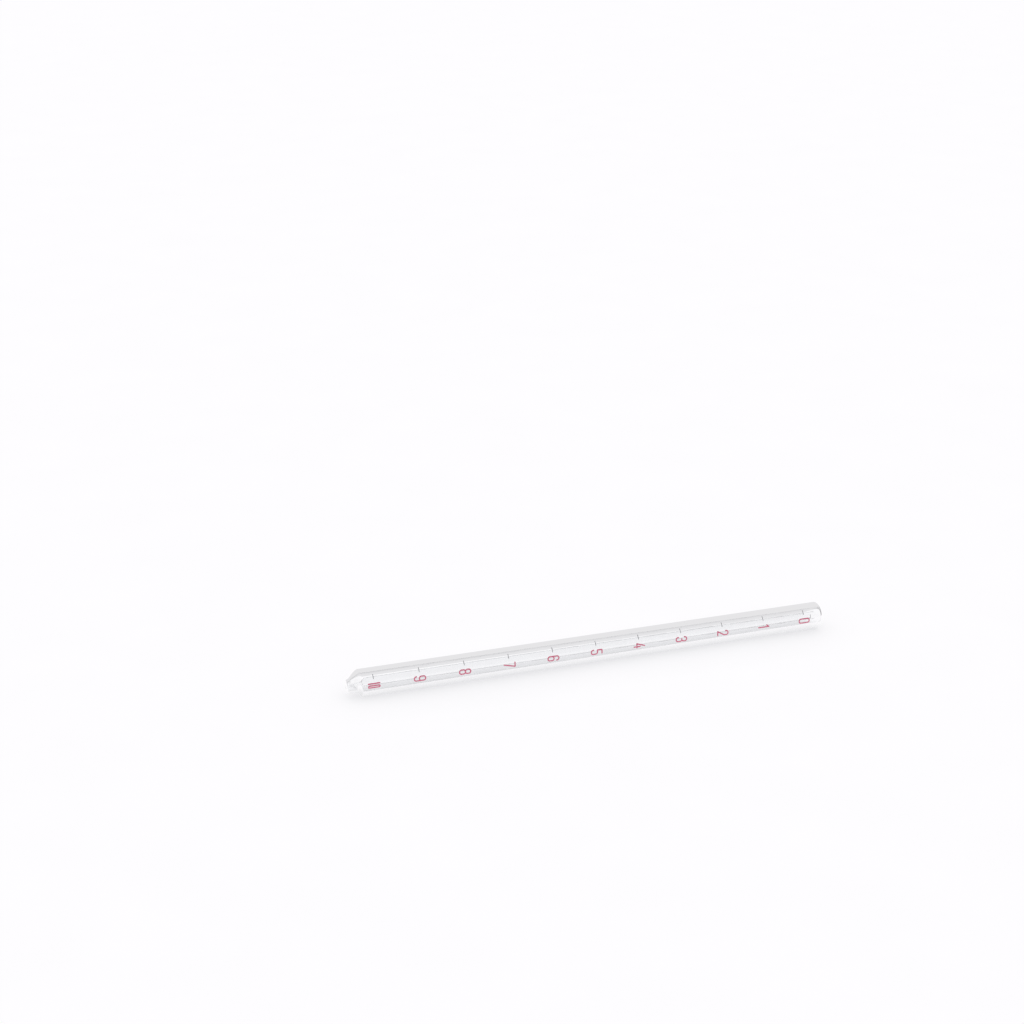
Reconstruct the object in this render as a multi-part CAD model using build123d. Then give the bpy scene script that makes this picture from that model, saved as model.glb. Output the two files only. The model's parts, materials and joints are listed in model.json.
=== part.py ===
from build123d import *
from math import hypot, pi
import os

# A 1 ml graduated glass pipette. Millimetres and degrees throughout.
#
# It lies along X on the plane z = 0: the drawn nose points to -X, the open mouth to +X,
# and x = 0 is halfway along. A "station" is a distance from the nose end along the axis.
# Every piece is drawn about the tube's own axis, then moved into place by PLACE.

# Scale. The bore and the volume of one division set how far apart the marks stand.
DIVISIONS = 10
DIVISION_VOLUME = 100.0

# Glass barrel and mouth. The mouth's two roundings leave at least the rim's flat between
# them, so they are cut down together on a wall too thin for both.
BARREL_DIAMETER = 7.0
BORE_DIAMETER = 3.3
MOUTH_OUTER_ROUNDING = 0.9
MOUTH_INNER_ROUNDING = 0.6
MOUTH_RIM_FLAT = 0.2

# Nose: a short drawn end with a fine orifice, which opens smoothly into the bore. It was
# drawn by hand, so its axis is a little off the barrel's, towards the short side.
NOSE_DIAMETER = 3.65
NOSE_OFFSET = 0.5
NOSE_ROUNDING = 0.5
ORIFICE_DIAMETER = 0.8
ORIFICE_ROUNDING = 0.15
ORIFICE_LENGTH = 2.2
TAPER_LENGTH = 3.2

# Shoulder between nose and barrel. It starts and ends nearer to the nose end on its long
# side, which faces up and back, than on its short side, opposite.
SHORT_SIDE_START = 2.8
SHORT_SIDE_LENGTH = 1.1
LONG_SIDE_START = 0.5
LONG_SIDE_LENGTH = 2.9
LONG_SIDE_TURN = 26.5
BLEND_SECTIONS = 9

# Enamel marks, printed on the outside of the barrel. Angles are measured around the
# axis from straight up, towards the front (-Y).
ENAMEL_THICKNESS = 0.03
NUMERAL_HEIGHT = 3.2
NUMERAL_WIDTH = 1.4
NUMERAL_STROKE = 0.32
NUMERAL_ANGLE = 83.0
PAIR_TENS_WIDTH = 0.44
PAIR_GAP = 0.16
CORNER_FULLNESS = 0.92
LINE_WIDTH = 0.15
LINE_START_ANGLE = 36.0
LINE_END_ANGLE = 57.0

# Clear barrel left at each end of the scale
SHOULDER_TO_NUMERAL = 0.85
NUMERAL_TO_ROUNDING = 3.15

# Cutting tools reach this far past what they cut.
CUT_MARGIN = 1.0

# Worked out from the sizes above
BARREL_RADIUS = BARREL_DIAMETER / 2
BORE_RADIUS = BORE_DIAMETER / 2
NOSE_RADIUS = NOSE_DIAMETER / 2
ORIFICE_RADIUS = ORIFICE_DIAMETER / 2
ROUNDED_WALL = BARREL_RADIUS - BORE_RADIUS - MOUTH_RIM_FLAT
ROUNDING_FIT = min(1, ROUNDED_WALL / (MOUTH_OUTER_ROUNDING + MOUTH_INNER_ROUNDING))
OUTER_ROUNDING = MOUTH_OUTER_ROUNDING * ROUNDING_FIT
INNER_ROUNDING = MOUTH_INNER_ROUNDING * ROUNDING_FIT
SHORT_SIDE_END = SHORT_SIDE_START + SHORT_SIDE_LENGTH
LONG_SIDE_END = LONG_SIDE_START + LONG_SIDE_LENGTH
SHOULDER_END = max(SHORT_SIDE_END, LONG_SIDE_END)
PITCH = DIVISION_VOLUME / (pi * BORE_RADIUS**2)
FIRST_MARK = SHOULDER_END + SHOULDER_TO_NUMERAL + NUMERAL_HEIGHT / 2
LAST_MARK = FIRST_MARK + DIVISIONS * PITCH
TOTAL_LENGTH = LAST_MARK + NUMERAL_HEIGHT / 2 + NUMERAL_TO_ROUNDING + OUTER_ROUNDING
PLACE = Pos(-TOTAL_LENGTH / 2, 0, BARREL_RADIUS)

# How each digit is drawn, in a cell that runs from -1 to 1 each way. A loop is given by
# the bottom and top of a closed oval. A stroke is a run of points (x, y, round), where
# round says whether the pen turns that corner on the cell's corner radius.
DIGIT_LOOPS = {
    0: [(-1, 1)],
    6: [(-1, 0.1)],
    8: [(-1, 0.06), (0.06, 1)],
    9: [(-0.1, 1)],
}
DIGIT_STROKES = {
    1: [[(-0.75, 0.6, 0), (0.1, 1, 0), (0.1, -1, 0)]],
    2: [[(-1, 0.55, 0), (-1, 1, 1), (1, 1, 1), (1, 0.25, 1), (-1, -1, 0), (1, -1, 0)]],
    3: [
        [(-1, 0.6, 0), (-1, 1, 1), (1, 1, 1), (1, 0.08, 1), (-0.2, 0.08, 0)],
        [(-0.2, 0.08, 0), (1, 0.08, 1), (1, -1, 1), (-1, -1, 1), (-1, -0.55, 0)],
    ],
    4: [
        [(0.3, 1, 0), (-1, -0.45, 0), (1, -0.45, 0)],
        [(0.45, 0.15, 0), (0.45, -1, 0)],
    ],
    5: [
        [
            (0.9, 1, 0), (-0.9, 1, 0), (-0.9, 0.15, 0), (1, 0.15, 1),
            (1, -1, 1), (-1, -1, 1), (-1, -0.55, 0),
        ],
    ],
    6: [[(-1, -0.45, 0), (-1, 1, 1), (1, 1, 1), (1, 0.6, 0)]],
    7: [[(-1, 1, 0), (1, 1, 0), (-0.35, -1, 0)]],
    9: [[(1, 0.45, 0), (1, -1, 1), (-1, -1, 1), (-1, -0.6, 0)]],
}


def turned(outline):
    """The solid swept by a closed outline of (station, radius) edges around the axis."""
    return revolve(Plane.XZ * make_face(outline), Axis.X)


def eased(share):
    """A share from 0 to 1 that leaves and arrives gently, as drawn glass does."""
    return share**2 * (3 - 2 * share)


def between(start, end, share):
    """The value at a share of the way from start to end."""
    return start + (end - start) * share


def skewed_plane(middle, slope, offset):
    """A plane across the tube at a middle station, leaning towards the long side."""
    return Plane(origin=(middle, 0, -offset), x_dir=(0, 1, 0), z_dir=(1, 0, slope))


def shoulder_start():
    """Middle station, slope, radius and offset of the shoulder's outline at the nose."""
    middle = (SHORT_SIDE_START + LONG_SIDE_START) / 2
    return middle, (SHORT_SIDE_START - LONG_SIDE_START) / NOSE_DIAMETER, NOSE_RADIUS, NOSE_OFFSET


def shoulder_end():
    """The same four values at the barrel."""
    middle = (SHORT_SIDE_END + LONG_SIDE_END) / 2
    return middle, (SHORT_SIDE_END - LONG_SIDE_END) / BARREL_DIAMETER, BARREL_RADIUS, 0


def nose():
    """Outside of the straight nose, from its rounded end to the start of the shoulder."""
    far = max(SHORT_SIDE_START, LONG_SIDE_START) + CUT_MARGIN
    edge = FilletPolyline(
        (0, 0), (0, NOSE_RADIUS), (far, NOSE_RADIUS), (far, 0), radius=(NOSE_ROUNDING, 0)
    )
    stub = Pos(0, 0, -NOSE_OFFSET) * turned([edge, Line((far, 0), (0, 0))])
    middle, slope, _, offset = shoulder_start()
    return split(stub, bisect_by=skewed_plane(middle, slope, offset), keep=Keep.BOTTOM)


def shoulder():
    """Outside of the skewed shoulder, lofted through leaning ellipses."""
    sections = []
    for i in range(BLEND_SECTIONS):
        share = i / (BLEND_SECTIONS - 1)
        blend = [between(*ends, eased(share)) for ends in zip(shoulder_start(), shoulder_end())]
        _, slope, radius, offset = blend
        middle = between(shoulder_start()[0], shoulder_end()[0], share)
        ring = Ellipse(radius, radius * hypot(1, slope))
        sections.append(skewed_plane(middle, slope, offset) * ring)
    return loft(sections)


def barrel():
    """Outside of the barrel, from the end of the shoulder to the rounded mouth."""
    near = min(SHORT_SIDE_END, LONG_SIDE_END) - CUT_MARGIN
    far = TOTAL_LENGTH
    edge = FilletPolyline(
        (near, 0), (near, BARREL_RADIUS), (far, BARREL_RADIUS), (far, 0),
        radius=(0, OUTER_ROUNDING),
    )
    middle, slope, _, offset = shoulder_end()
    rod = turned([edge, Line((far, 0), (near, 0))])
    return split(rod, bisect_by=skewed_plane(middle, slope, offset), keep=Keep.TOP)


def flared_hole(radius, rounding, depth):
    """A round hole along X, open at station 0 with a rounded edge, down to a depth."""
    reach = radius + 2 * rounding
    edge = FilletPolyline(
        (depth, 0), (depth, radius), (0, radius), (0, reach), (-CUT_MARGIN, reach),
        (-CUT_MARGIN, 0),
        radius=(0, rounding, 0, 0),
    )
    return turned([edge, Line((-CUT_MARGIN, 0), (depth, 0))])


def taper():
    """The smooth widening between the orifice and the bore."""
    sections = []
    for i in range(BLEND_SECTIONS):
        share = i / (BLEND_SECTIONS - 1)
        station = ORIFICE_LENGTH + TAPER_LENGTH * share
        offset = between(NOSE_OFFSET, 0, eased(share))
        radius = between(ORIFICE_RADIUS, BORE_RADIUS, eased(share))
        sections.append(skewed_plane(station, 0, offset) * Circle(radius))
    return loft(sections)


def passage():
    """The space inside: orifice, smooth taper and bore, open at both ends."""
    orifice = flared_hole(ORIFICE_RADIUS, ORIFICE_ROUNDING, ORIFICE_LENGTH)
    bore_depth = TOTAL_LENGTH - ORIFICE_LENGTH - TAPER_LENGTH
    bore = flared_hole(BORE_RADIUS, INNER_ROUNDING, bore_depth)
    mouth_end = Pos(TOTAL_LENGTH, 0, 0) * Rot(Z=180)
    return Pos(0, 0, -NOSE_OFFSET) * orifice + taper() + mouth_end * bore


def glass_tube():
    """The whole glass body, one piece from mouth to orifice."""
    return Rot(X=-LONG_SIDE_TURN) * (nose() + shoulder() + barrel() - passage())


def pen_stroke(points, half_width, half_height, radius):
    """One pen stroke with round ends, through a digit's points."""
    route = [(x * half_width, y * half_height) for x, y, _ in points]
    radii = [radius * turn for _, _, turn in points[1:-1]]
    path = FilletPolyline(*route, radius=radii) if radii else Line(*route)
    return SlotArc(path, NUMERAL_STROKE)


def pen_loop(bottom, top, half_width, half_height, radius):
    """One closed oval of a digit."""
    width = 2 * half_width
    height = (top - bottom) * half_height
    pen = NUMERAL_STROKE
    outer = RectangleRounded(width + pen, height + pen, radius + pen / 2)
    inner = RectangleRounded(width - pen, height - pen, radius - pen / 2)
    return Pos(0, (top + bottom) / 2 * half_height) * (outer - inner)


def digit(value, width):
    """A flat digit of the given width, centred on the origin, with its top towards +Y."""
    half_width = (width - NUMERAL_STROKE) / 2
    half_height = (NUMERAL_HEIGHT - NUMERAL_STROKE) / 2
    cell = (half_width, half_height, CORNER_FULLNESS * half_width)
    sketch = Sketch()
    for bottom, top in DIGIT_LOOPS.get(value, []):
        sketch += pen_loop(bottom, top, *cell)
    for points in DIGIT_STROKES.get(value, []):
        sketch += pen_stroke(points, *cell)
    return sketch


def digit_outlines(value):
    """The flat digits of one numeral. Two digits share the width of one."""
    if value < 10:
        return [digit(value, NUMERAL_WIDTH)]
    tens, units = divmod(value, 10)
    units_width = NUMERAL_WIDTH - PAIR_TENS_WIDTH - PAIR_GAP
    return [
        Pos((PAIR_TENS_WIDTH - NUMERAL_WIDTH) / 2, 0) * digit(tens, PAIR_TENS_WIDTH),
        Pos((NUMERAL_WIDTH - units_width) / 2, 0) * digit(units, units_width),
    ]


def enamel_skin(station):
    """The thin layer of enamel that a numeral at this station is cut from."""
    length = NUMERAL_HEIGHT + 2 * CUT_MARGIN
    skin = Cylinder(BARREL_RADIUS + ENAMEL_THICKNESS, length) - Cylinder(BARREL_RADIUS, length)
    return Pos(station, 0, 0) * Rot(Y=90) * skin


def numeral(value, station):
    """A numeral that follows the barrel's curve, its digits' tops towards the mouth."""
    page = Plane(origin=(0, 0, BARREL_RADIUS - CUT_MARGIN), x_dir=(0, -1, 0), z_dir=(0, 0, 1))
    seat = Pos(station, 0, 0) * Rot(X=NUMERAL_ANGLE)
    skin = enamel_skin(station)
    solids = []
    for outline in digit_outlines(value):
        prism = seat * extrude(page * outline, 2 * CUT_MARGIN)
        solids += (prism & skin).solids()
    return Compound(children=solids)


def scale_line(station):
    """A short line that follows the barrel's curve, beside the numeral's left edge."""
    section = Rectangle(LINE_WIDTH, ENAMEL_THICKNESS, align=(Align.CENTER, Align.MIN))
    upright = Plane.XZ * Pos(station, BARREL_RADIUS) * section
    sweep = LINE_END_ANGLE - LINE_START_ANGLE
    return revolve(Rot(X=LINE_START_ANGLE) * upright, Axis.X, revolution_arc=sweep)


def main():
    """Write one STEP file for each piece."""
    pieces = {"glass_tube": glass_tube()}
    for mark in range(DIVISIONS + 1):
        value = DIVISIONS - mark
        station = FIRST_MARK + mark * PITCH
        pieces[f"numeral_{value}"] = numeral(value, station)
        pieces[f"scale_line_{value}"] = scale_line(station)
    os.makedirs("parts", exist_ok=True)
    for name, piece in pieces.items():
        export_step(PLACE * piece, f"parts/{name}.step")


main()
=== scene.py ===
import json
from math import cos, pi, radians, sin

import bpy
from mathutils import Matrix, Vector


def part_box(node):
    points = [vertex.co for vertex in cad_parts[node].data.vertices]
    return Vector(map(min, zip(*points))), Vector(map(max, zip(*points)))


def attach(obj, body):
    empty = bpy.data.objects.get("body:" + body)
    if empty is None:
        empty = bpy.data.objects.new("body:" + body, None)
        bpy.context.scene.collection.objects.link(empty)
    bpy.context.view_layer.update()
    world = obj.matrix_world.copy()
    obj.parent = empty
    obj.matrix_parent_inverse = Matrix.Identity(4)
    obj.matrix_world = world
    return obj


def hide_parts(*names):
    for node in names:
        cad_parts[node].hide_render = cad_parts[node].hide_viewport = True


# A 1 ml graduated glass pipette lying on a pale floor. Metres throughout: MM is one
# millimetre. The frame gives the tube's length, radii and place. The enamel marks are the
# frame's own meshes, and the glass is a finer mesh of the frame's glass tube.
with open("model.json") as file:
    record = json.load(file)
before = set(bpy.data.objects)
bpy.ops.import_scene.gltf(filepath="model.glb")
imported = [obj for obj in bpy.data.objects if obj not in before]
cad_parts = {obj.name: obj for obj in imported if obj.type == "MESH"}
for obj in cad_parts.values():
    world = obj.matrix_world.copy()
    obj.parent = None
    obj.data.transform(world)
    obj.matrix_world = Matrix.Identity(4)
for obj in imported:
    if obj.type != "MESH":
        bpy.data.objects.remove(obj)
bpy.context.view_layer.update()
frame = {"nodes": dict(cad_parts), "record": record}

MM = 0.001

# Glass shape, all of it inside the frame's own glass tube
MOUNTS = {mount["name"]: mount for mount in frame["record"]["mounts"]}
BARREL_RADIUS = MOUNTS["barrel"]["dims"]["r_mm"] * MM
BORE_RADIUS = MOUNTS["mouth_bore"]["dims"]["r_mm"] * MM
GLASS_LOW, GLASS_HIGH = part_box("glass_tube")
NOSE_END = GLASS_LOW.x
LENGTH = GLASS_HIGH.x - GLASS_LOW.x
AXIS_HEIGHT = (GLASS_LOW.z + GLASS_HIGH.z) / 2
MOUTH_OUTER_ROUNDING = 0.9 * MM
MOUTH_INNER_ROUNDING = 0.6 * MM
NOSE_RADIUS = 1.825 * MM
NOSE_OFFSET = 0.5 * MM
NOSE_ROUNDING = 0.5 * MM
ORIFICE_RADIUS = 0.4 * MM
ORIFICE_ROUNDING = 0.15 * MM
ORIFICE_LENGTH = 2.2 * MM
TAPER_LENGTH = 3.2 * MM
SHORT_SIDE = (2.8 * MM, 3.9 * MM)
LONG_SIDE = (0.5 * MM, 3.4 * MM)
LONG_SIDE_TURN = radians(26.5)

# How finely the glass is divided
AROUND = 256
ROUNDING_STEPS = 12
BLEND_STEPS = 32

# Camera: where it looks on the floor, from how far away and from which side
AIM = Vector((0.0160, 0.1063, 0))
AIM_DISTANCE = 0.620
AZIMUTH = radians(-19.28)
ELEVATION = radians(21.09)
SENSOR_WIDTH = 36
LENS = 71.7

# Studio: a soft tent of light, with one level behind the tube, one overhead and one on the
# camera's side, at these angles round the tube from level behind it. It dims towards the tube's
# two ends, from the share given. Colours here and below are linear.
BEHIND_LIGHT = 0.8
OVERHEAD_LIGHT = 0.8
CAMERA_SIDE_LIGHT = 0.4
TENT = [(0, BEHIND_LIGHT), (90, OVERHEAD_LIGHT), (180, CAMERA_SIDE_LIGHT)]
ENDS_FROM = 0.75
ENDS_LIGHT = 0.5
LIGHT_TINT = (0.991, 0.982, 1.0, 1)

# Floor: it glows a little, and a painted shade darkens the glow where something stands close over
# it
FLOOR_HALF = 6
FLOOR_GLOW = 0.93
FLOOR_DARK = (0.095, 0.095, 0.095, 1)
FLOOR_PALE = (0.105, 0.105, 0.105, 1)
FLOOR_MOTTLE = 40
FLOOR_ROUGHNESS = 0.9
SHADE_TINT = (0.78, 0.78, 0.80, 1)
SHADE_REACH = 14 * MM

# Glass: noise scales are per metre, and the rim, a painted shade on the glass colour, is a share of
# the way to edge-on
GLASS_INDEX = 1.47
GLASS_FACE = (0.992, 0.997, 1, 1)
GLASS_RIM_PAINTED_SHADE = (0.40, 0.41, 0.42, 1)
PAINTED_SHADE_FROM = 0.40
PAINTED_SHADE_TO = 0.90
FILM = 250
FILM_SPREAD = 0.2
FILM_ROUGHNESS = 0.015
STREAKS = 900
STREAK_STRETCH = (0.03, 1, 1)
STREAK_STRENGTH = 0.1
STREAK_DEPTH = 0.002 * MM

# Enamel: thick and thin colours, and roughness
RED_THICK = (0.72, 0.12, 0.23, 1)
RED_THIN = (0.83, 0.25, 0.36, 1)
RED_GLOSS = 0.3
GREY_THICK = (0.27, 0.27, 0.285, 1)
GREY_THIN = (0.40, 0.40, 0.42, 1)
GREY_GLOSS = 0.35
ENAMEL_DENSITY = 2600
ENAMEL_TOOTH = 14000
TOOTH_STRENGTH = 0.4
TOOTH_DEPTH = 0.01 * MM
EVEN = (1, 1, 1)

# Light goes round in the wall of the tube many times before it leaves
BOUNCES = 1000


def ring(station, radius, slope=0, offset=0):
    """Points round the tube at a station. They lean towards the long side by the slope."""
    points = []
    turn = Matrix.Rotation(-LONG_SIDE_TURN, 3, "X")
    for i in range(AROUND):
        angle = 2 * pi * i / AROUND
        across = radius * sin(angle)
        along = radius * cos(angle)
        point = turn @ Vector((station - slope * along, across, along - offset))
        points.append(point + Vector((NOSE_END, 0, AXIS_HEIGHT)))
    return points


def eased(share):
    return share**2 * (3 - 2 * share)


def between(start, end, share):
    return start + (end - start) * share


def corner(station, radius, rounding, from_angle, to_angle, offset=0):
    """Rings round a rounded edge whose arc is centred at a station and radius."""
    rings = []
    for i in range(ROUNDING_STEPS + 1):
        angle = radians(between(from_angle, to_angle, i / ROUNDING_STEPS))
        rings.append(
            ring(station + rounding * cos(angle), radius + rounding * sin(angle), 0, offset)
        )
    return rings


def shoulder_rings():
    """The skewed shoulder, from the nose to the barrel."""
    rings = []
    start_middle = (SHORT_SIDE[0] + LONG_SIDE[0]) / 2
    end_middle = (SHORT_SIDE[1] + LONG_SIDE[1]) / 2
    start_slope = (SHORT_SIDE[0] - LONG_SIDE[0]) / (2 * NOSE_RADIUS)
    end_slope = (SHORT_SIDE[1] - LONG_SIDE[1]) / (2 * BARREL_RADIUS)
    for i in range(BLEND_STEPS + 1):
        share = i / BLEND_STEPS
        soft = eased(share)
        rings.append(
            ring(
                between(start_middle, end_middle, share),
                between(NOSE_RADIUS, BARREL_RADIUS, soft),
                between(start_slope, end_slope, soft),
                between(NOSE_OFFSET, 0, soft),
            )
        )
    return rings


def taper_rings():
    """The passage between bore and orifice, from the bore end."""
    rings = []
    for i in range(BLEND_STEPS + 1):
        share = 1 - i / BLEND_STEPS
        soft = eased(share)
        rings.append(
            ring(
                ORIFICE_LENGTH + TAPER_LENGTH * share,
                between(ORIFICE_RADIUS, BORE_RADIUS, soft),
                0,
                between(NOSE_OFFSET, 0, soft),
            )
        )
    return rings


def mesh_object(name, points, faces):
    mesh = bpy.data.meshes.new(name)
    mesh.from_pydata(points, [], faces)
    mesh.validate()
    mesh.shade_smooth()
    piece = bpy.data.objects.new(name, mesh)
    bpy.context.scene.collection.objects.link(piece)
    return piece


def glass_body():
    """One closed skin: outside from nose to mouth, then back down the passage."""
    rings = corner(NOSE_ROUNDING, NOSE_RADIUS - NOSE_ROUNDING, NOSE_ROUNDING, 180, 90, NOSE_OFFSET)
    rings += shoulder_rings()
    mouth_arc = LENGTH - MOUTH_OUTER_ROUNDING
    rings += corner(mouth_arc, BARREL_RADIUS - MOUTH_OUTER_ROUNDING, MOUTH_OUTER_ROUNDING, 90, 0)
    bore_arc = LENGTH - MOUTH_INNER_ROUNDING
    rings += corner(bore_arc, BORE_RADIUS + MOUTH_INNER_ROUNDING, MOUTH_INNER_ROUNDING, 0, -90)
    rings += taper_rings()
    rings += corner(
        ORIFICE_ROUNDING, ORIFICE_RADIUS + ORIFICE_ROUNDING, ORIFICE_ROUNDING, 270, 180, NOSE_OFFSET
    )
    points = [point for one in rings for point in one]
    faces = []
    for i in range(len(rings)):
        here, there = i * AROUND, (i + 1) % len(rings) * AROUND
        for j in range(AROUND):
            k = (j + 1) % AROUND
            faces.append((here + j, here + k, there + k, there + j))
    return mesh_object("glass_body", points, faces)


def new_material(name):
    """A node material with a Principled shader, and a short way to add and join nodes."""
    material = bpy.data.materials.new(name)
    material.use_nodes = True
    nodes = material.node_tree.nodes
    links = material.node_tree.links
    shader = nodes["Principled BSDF"]

    def add(kind, **values):
        node = nodes.new(kind)
        for key, value in values.items():
            if key in node.inputs:
                node.inputs[key].default_value = value
            else:
                setattr(node, key, value)
        return node

    return material, shader, add, links.new


def noise(add, join, stretch, scale, detail):
    """Noise in the frame's own coordinates, stretched along each axis."""
    place = add("ShaderNodeTexCoord")
    mapping = add("ShaderNodeMapping")
    mapping.inputs["Scale"].default_value = stretch
    texture = add("ShaderNodeTexNoise", Scale=scale, Detail=detail)
    join(place.outputs["Object"], mapping.inputs["Vector"])
    join(mapping.outputs["Vector"], texture.inputs["Vector"])
    return texture.outputs["Fac"]


def ramp(add, join, source, low, high, start=0.3, end=0.7):
    """A colour that runs from low to high as the source does from start to end."""
    node = add("ShaderNodeValToRGB")
    node.color_ramp.elements[0].position = start
    node.color_ramp.elements[0].color = low
    node.color_ramp.elements[1].position = end
    node.color_ramp.elements[1].color = high
    join(source, node.inputs["Fac"])
    return node.outputs["Color"]


def level(add, join, source, low, high):
    """A number that runs from low to high with the source."""
    node = add("ShaderNodeMapRange")
    node.inputs["To Min"].default_value = low
    node.inputs["To Max"].default_value = high
    join(source, node.inputs["Value"])
    return node.outputs["Result"]


def bump(add, join, source, strength, distance):
    node = add("ShaderNodeBump", Strength=strength, Distance=distance)
    join(source, node.inputs["Height"])
    return node.outputs["Normal"]


def clear_glass():
    """Drawn clear glass with faint streaks along it. Its rim has a painted shade: the glass colour
    darkens where a ray enters it edge-on.
    """
    material, shader, add, join = new_material("clear_glass")
    shader.inputs["Transmission Weight"].default_value = 1
    shader.inputs["IOR"].default_value = GLASS_INDEX
    streaks = noise(add, join, STREAK_STRETCH, STREAKS, 2)
    film = noise(add, join, EVEN, FILM, 4)
    # Painted shade: the glass colour darkens towards edge-on on surfaces entered from outside,
    # drawing dark outlines
    edge = add("ShaderNodeLayerWeight", Blend=0.5)
    painted_shade_facing = add("ShaderNodeMath", operation="MULTIPLY")
    join(edge.outputs["Facing"], painted_shade_facing.inputs[0])
    join(level(add, join, film, 1 - FILM_SPREAD, 1 + FILM_SPREAD), painted_shade_facing.inputs[1])
    side = add("ShaderNodeNewGeometry")
    painted_shade_share = add("ShaderNodeMath", operation="MULTIPLY_ADD")
    join(side.outputs["Backfacing"], painted_shade_share.inputs[0])
    painted_shade_share.inputs[1].default_value = -1
    join(painted_shade_facing.outputs[0], painted_shade_share.inputs[2])
    tint_and_painted_shade = ramp(add, join, painted_shade_share.outputs[0], GLASS_FACE, GLASS_RIM_PAINTED_SHADE, PAINTED_SHADE_FROM, PAINTED_SHADE_TO)
    join(tint_and_painted_shade, shader.inputs["Base Color"])
    join(level(add, join, film, 0.0, FILM_ROUGHNESS), shader.inputs["Roughness"])
    join(bump(add, join, streaks, STREAK_STRENGTH, STREAK_DEPTH), shader.inputs["Normal"])
    return material


def enamel(name, thick, thin, gloss):
    """Screen-printed enamel: its colour is uneven, and its surface has a fine tooth."""
    material, shader, add, join = new_material(name)
    density = noise(add, join, EVEN, ENAMEL_DENSITY, 3)
    tooth = noise(add, join, EVEN, ENAMEL_TOOTH, 2)
    join(ramp(add, join, density, thin, thick), shader.inputs["Base Color"])
    join(level(add, join, tooth, gloss - 0.08, gloss + 0.12), shader.inputs["Roughness"])
    join(bump(add, join, tooth, TOOTH_STRENGTH, TOOTH_DEPTH), shader.inputs["Normal"])
    return material


def paint(piece, material):
    piece.data.materials.clear()
    piece.data.materials.append(material)


def dress_marks():
    """The frame's own enamel nodes get their materials."""
    red = enamel("red_enamel", RED_THICK, RED_THIN, RED_GLOSS)
    grey = enamel("grey_enamel", GREY_THICK, GREY_THIN, GREY_GLOSS)
    for name, piece in frame["nodes"].items():
        if name.startswith("numeral_"):
            paint(piece, red)
        if name.startswith("scale_line_"):
            paint(piece, grey)


def floor():
    """A wide pale glowing sheet under everything, with a soft painted shade where the tube lies on
    it.
    """
    half = FLOOR_HALF
    piece = mesh_object(
        "floor", [(-half, -half, 0), (half, -half, 0), (half, half, 0), (-half, half, 0)],
        [(0, 1, 2, 3)],
    )
    material, shader, add, join = new_material("pale_floor")
    mottle = noise(add, join, EVEN, FLOOR_MOTTLE, 3)
    join(ramp(add, join, mottle, FLOOR_DARK, FLOOR_PALE), shader.inputs["Base Color"])
    # Painted shade: ambient occlusion darkens the floor's glow near the tube, standing in for its
    # shadow
    painted_shade_occlusion = add("ShaderNodeAmbientOcclusion", Distance=SHADE_REACH)
    glow_and_painted_shade = ramp(add, join, painted_shade_occlusion.outputs["AO"], SHADE_TINT, LIGHT_TINT, 0, 1)
    join(glow_and_painted_shade, shader.inputs["Emission Color"])
    shader.inputs["Emission Strength"].default_value = FLOOR_GLOW
    shader.inputs["Roughness"].default_value = FLOOR_ROUGHNESS
    shader.inputs["Specular IOR Level"].default_value = 0
    paint(piece, material)


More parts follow.
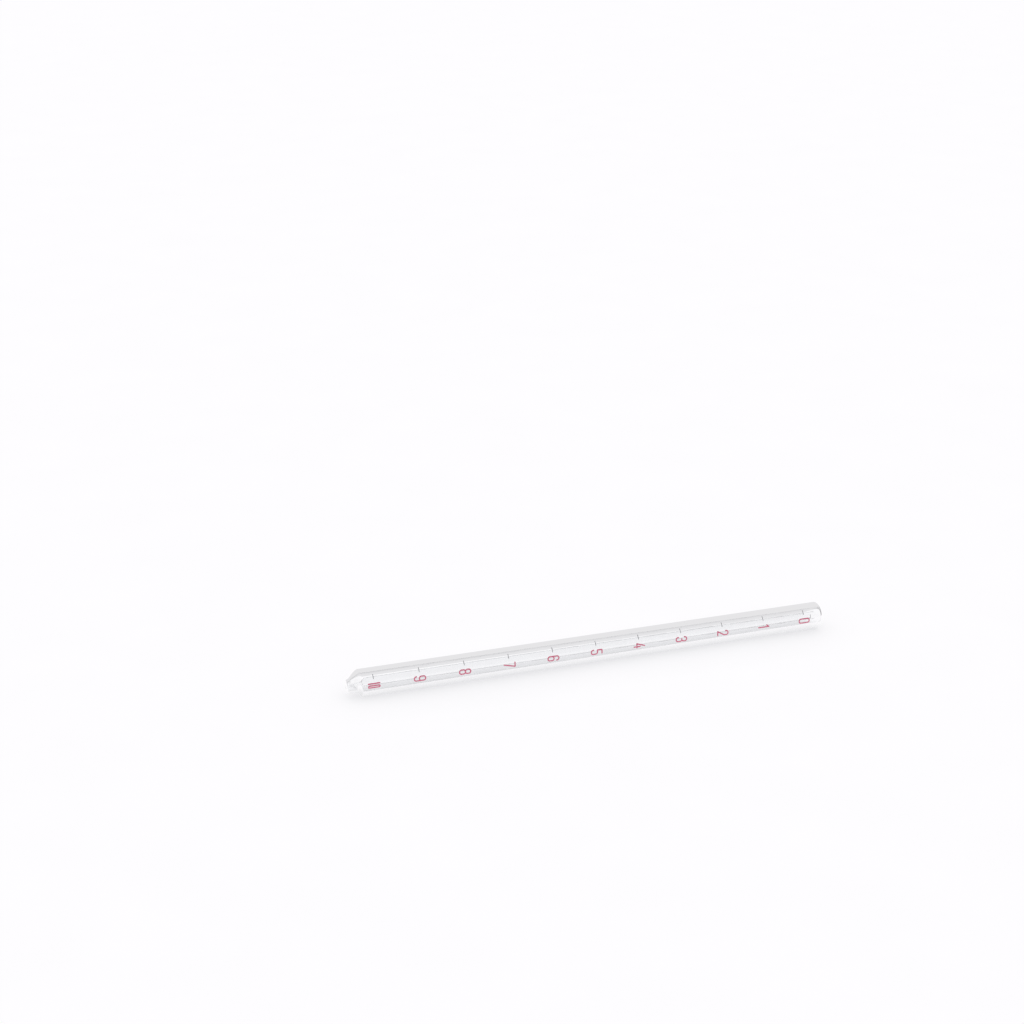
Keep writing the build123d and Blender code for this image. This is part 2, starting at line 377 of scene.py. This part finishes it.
def studio():
    """A tent of soft light over the table, dimmer on the camera's side and towards the ends."""
    world = bpy.data.worlds.new("studio")
    bpy.context.scene.world = world
    world.use_nodes = True
    nodes = world.node_tree.nodes
    join = world.node_tree.links.new
    place = nodes.new("ShaderNodeTexCoord")
    split = nodes.new("ShaderNodeSeparateXYZ")
    join(place.outputs["Generated"], split.inputs[0])
    angle = nodes.new("ShaderNodeMath")
    angle.operation = "ARCTAN2"
    join(split.outputs["Z"], angle.inputs[0])
    join(split.outputs["Y"], angle.inputs[1])
    share = nodes.new("ShaderNodeMath")
    share.operation = "DIVIDE"
    join(angle.outputs[0], share.inputs[0])
    share.inputs[1].default_value = pi
    tent = nodes.new("ShaderNodeValToRGB")
    tent.color_ramp.interpolation = "EASE"
    stops = tent.color_ramp.elements
    stops.remove(stops[1])
    for degrees, light in TENT:
        stop = stops.new(degrees / 180) if degrees else stops[0]
        stop.color = (light, light, light, 1)
    join(share.outputs[0], tent.inputs["Fac"])
    aside = nodes.new("ShaderNodeMath")
    aside.operation = "ABSOLUTE"
    join(split.outputs["X"], aside.inputs[0])
    ends = nodes.new("ShaderNodeMapRange")
    ends.interpolation_type = "SMOOTHSTEP"
    ends.inputs["From Min"].default_value = ENDS_FROM
    ends.inputs["To Min"].default_value = 1
    ends.inputs["To Max"].default_value = ENDS_LIGHT
    join(aside.outputs[0], ends.inputs["Value"])
    tinted = nodes.new("ShaderNodeMix")
    tinted.data_type = "RGBA"
    tinted.blend_type = "MULTIPLY"
    tinted.inputs["Factor"].default_value = 1
    join(tent.outputs["Color"], tinted.inputs[7])
    tinted.inputs[6].default_value = LIGHT_TINT
    sky = nodes["Background"]
    join(tinted.outputs[2], sky.inputs["Color"])
    join(ends.outputs["Result"], sky.inputs["Strength"])
    bpy.context.scene.cycles.max_bounces = BOUNCES
    bpy.context.scene.cycles.transmission_bounces = BOUNCES
    bpy.context.scene.cycles.glossy_bounces = BOUNCES
    bpy.context.scene.view_settings.view_transform = "Standard"


def camera():
    """A camera at the aim distance, turned and raised by the azimuth and elevation."""
    back = Vector(
        (sin(AZIMUTH) * cos(ELEVATION), -cos(AZIMUTH) * cos(ELEVATION), sin(ELEVATION))
    )
    lens = bpy.data.cameras.new("camera")
    lens.lens = LENS
    lens.sensor_width = SENSOR_WIDTH
    lens.clip_start = 0.01
    eye = bpy.data.objects.new("camera", lens)
    eye.location = AIM + back * AIM_DISTANCE
    eye.rotation_euler = (-back).to_track_quat("-Z", "Y").to_euler()
    bpy.context.scene.collection.objects.link(eye)
    bpy.context.scene.camera = eye


def main():
    camera()
    studio()
    floor()
    glass = glass_body()
    paint(glass, clear_glass())
    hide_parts("glass_tube")
    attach(glass, "root")
    dress_marks()


main()
